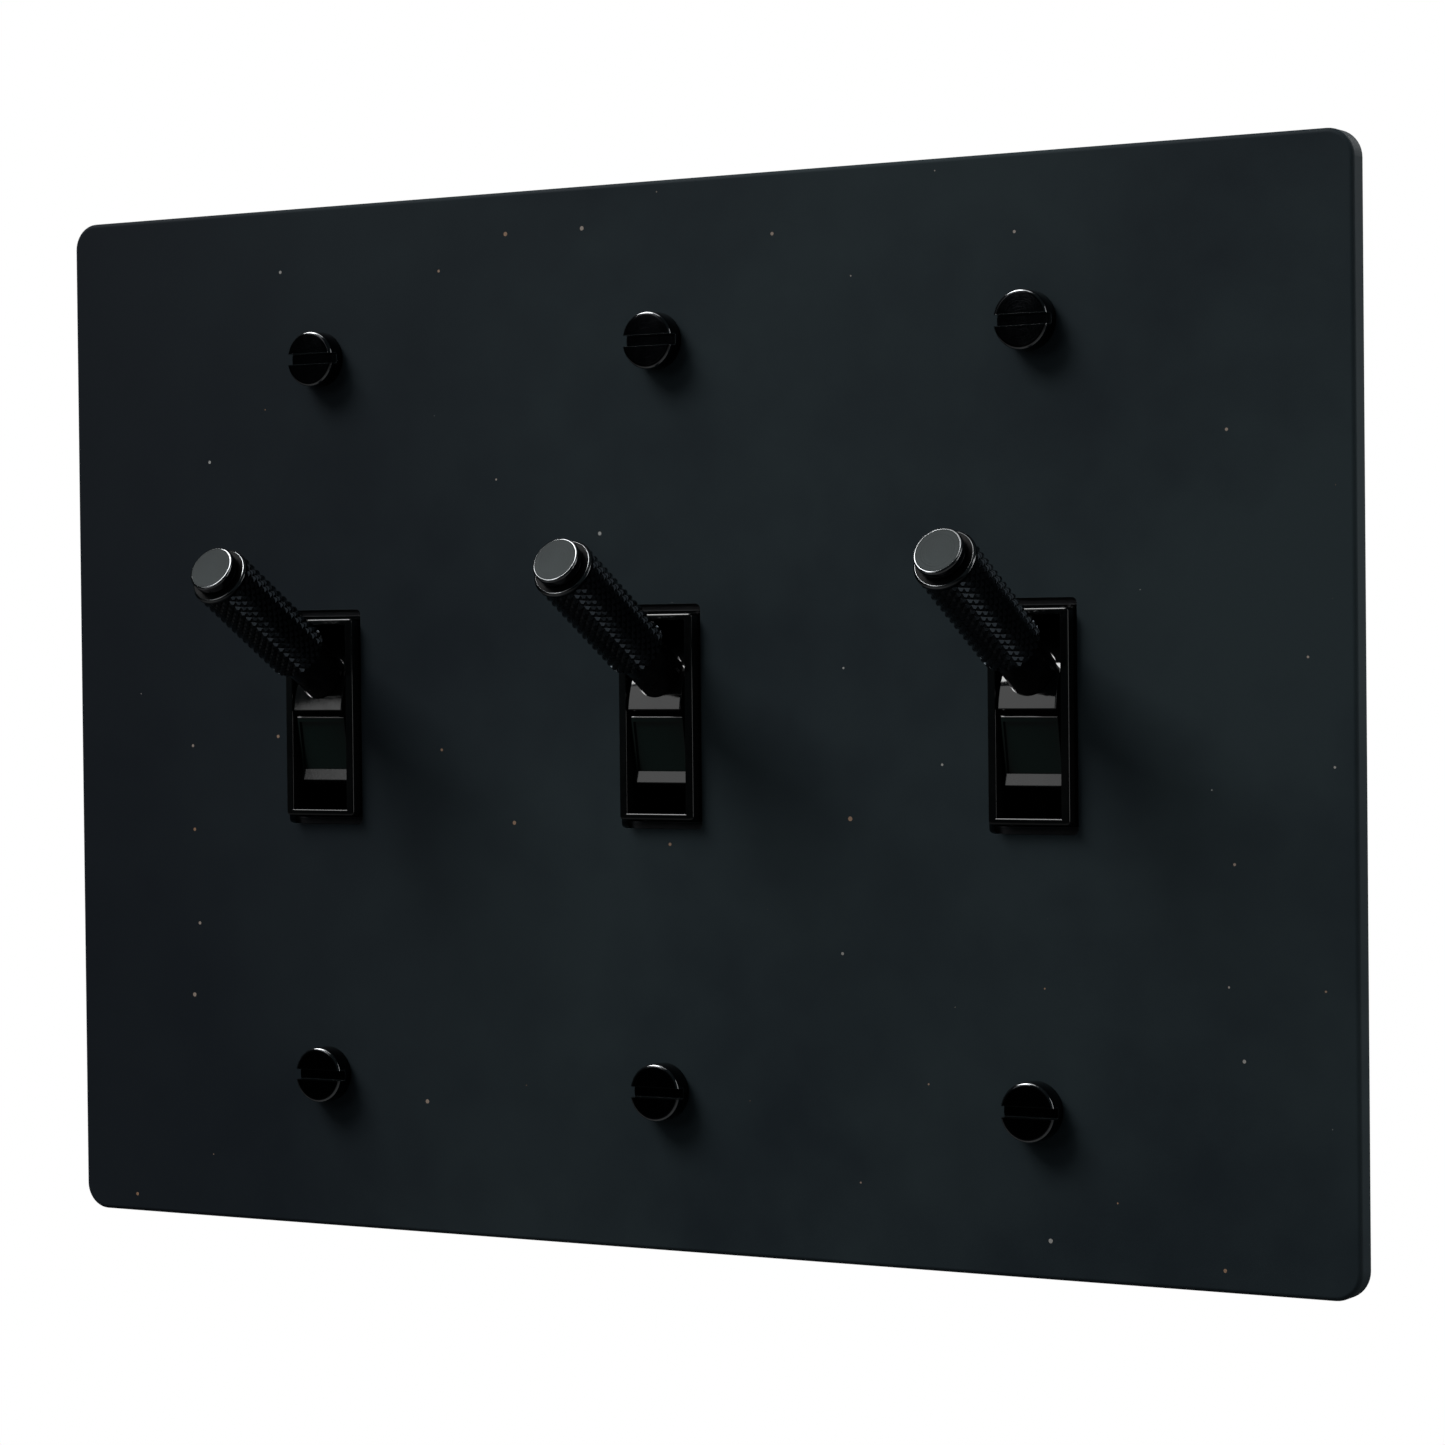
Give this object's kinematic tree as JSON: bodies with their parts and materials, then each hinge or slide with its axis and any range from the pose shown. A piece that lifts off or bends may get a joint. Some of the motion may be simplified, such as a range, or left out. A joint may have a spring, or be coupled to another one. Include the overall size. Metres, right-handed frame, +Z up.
{
  "type": "toggle switch wall plate",
  "caption": "Wide matt black metal wall plate with slotted screws, carrying a row of toggle switches with knurled levers and their mechanisms.",
  "frame": {"origin": "centre of the plate's back rim, in the plane of the wall", "axes": "+X to the right along the plate, +Y into the wall, +Z up; the levers point out along -Y"},
  "size_m": [0.165, 0.0482, 0.119],
  "materials": {
    "plate": "matt black powder coat on steel",
    "screw_black": "gloss black plated steel",
    "black_plastic": "glossy black moulded plastic",
    "housing_plastic": "matt black moulded plastic",
    "black_metal": "black anodised, knurled",
    "neck_metal": "satin black plated metal",
    "tip_metal": "dark satin turned metal disc",
    "strap_steel": "black-coated pressed steel",
    "brass": "plain brass",
    "silver": "silver contact alloy",
    "spring_steel": "spring wire",
    "zinc": "bright zinc plating",
    "green_screw": "green-dyed zinc plating"
  },
  "bodies": {
    "plate_and_housings": {"face_plate": "plate", "left_upper_plate_screw": "screw_black", "left_lower_plate_screw": "screw_black", "left_strap": "strap_steel", "left_rivets": "zinc", "left_ground_screw": "green_screw", "left_front_housing": "black_plastic", "left_back_housing": "housing_plastic", "left_common_terminal": "brass", "left_line_terminal": "brass", "left_fixed_contact": "silver", "left_terminal_screws": "brass", "middle_upper_plate_screw": "screw_black", "middle_lower_plate_screw": "screw_black", "middle_strap": "strap_steel", "middle_rivets": "zinc", "middle_ground_screw": "green_screw", "middle_front_housing": "black_plastic", "middle_back_housing": "housing_plastic", "middle_common_terminal": "brass", "middle_line_terminal": "brass", "middle_fixed_contact": "silver", "middle_terminal_screws": "brass", "right_upper_plate_screw": "screw_black", "right_lower_plate_screw": "screw_black", "right_strap": "strap_steel", "right_rivets": "zinc", "right_ground_screw": "green_screw", "right_front_housing": "black_plastic", "right_back_housing": "housing_plastic", "right_common_terminal": "brass", "right_line_terminal": "brass", "right_fixed_contact": "silver", "right_terminal_screws": "brass"},
    "left_lever": {"left_cradle": "black_plastic", "left_stem": "neck_metal", "left_grip": "black_metal", "left_tip_cap": "tip_metal", "left_plunger": "brass", "left_spring": "spring_steel"},
    "left_seesaw": {"left_contact_rocker": "brass", "left_moving_contact": "silver"},
    "middle_lever": {"middle_cradle": "black_plastic", "middle_stem": "neck_metal", "middle_grip": "black_metal", "middle_tip_cap": "tip_metal", "middle_plunger": "brass", "middle_spring": "spring_steel"},
    "middle_seesaw": {"middle_contact_rocker": "brass", "middle_moving_contact": "silver"},
    "right_lever": {"right_cradle": "black_plastic", "right_stem": "neck_metal", "right_grip": "black_metal", "right_tip_cap": "tip_metal", "right_plunger": "brass", "right_spring": "spring_steel"},
    "right_seesaw": {"right_contact_rocker": "brass", "right_moving_contact": "silver"}
  },
  "joints": [
    {"name": "left_lever_pivot", "type": "hinge", "parent": "plate_and_housings", "child": "left_lever", "pos_m": [-0.04604, 0.0054, 0], "axis": [1, 0, 0], "range_deg": [0, 61]},
    {"name": "left_seesaw_pivot", "type": "hinge", "parent": "plate_and_housings", "child": "left_seesaw", "pos_m": [-0.04604, 0.018, 0], "axis": [1, 0, 0], "range_deg": [-16, 0]},
    {"name": "middle_lever_pivot", "type": "hinge", "parent": "plate_and_housings", "child": "middle_lever", "pos_m": [0, 0.0054, 0], "axis": [1, 0, 0], "range_deg": [0, 61]},
    {"name": "middle_seesaw_pivot", "type": "hinge", "parent": "plate_and_housings", "child": "middle_seesaw", "pos_m": [0, 0.018, 0], "axis": [1, 0, 0], "range_deg": [-16, 0]},
    {"name": "right_lever_pivot", "type": "hinge", "parent": "plate_and_housings", "child": "right_lever", "pos_m": [0.04604, 0.0054, 0], "axis": [1, 0, 0], "range_deg": [0, 61]},
    {"name": "right_seesaw_pivot", "type": "hinge", "parent": "plate_and_housings", "child": "right_seesaw", "pos_m": [0.04604, 0.018, 0], "axis": [1, 0, 0], "range_deg": [-16, 0]}
  ],
  "couplings": [
    {"joint": "left_seesaw_pivot", "follows": "left_lever_pivot", "ratio": -0.2622},
    {"joint": "middle_seesaw_pivot", "follows": "middle_lever_pivot", "ratio": -0.2622},
    {"joint": "right_seesaw_pivot", "follows": "right_lever_pivot", "ratio": -0.2622}
  ]
}
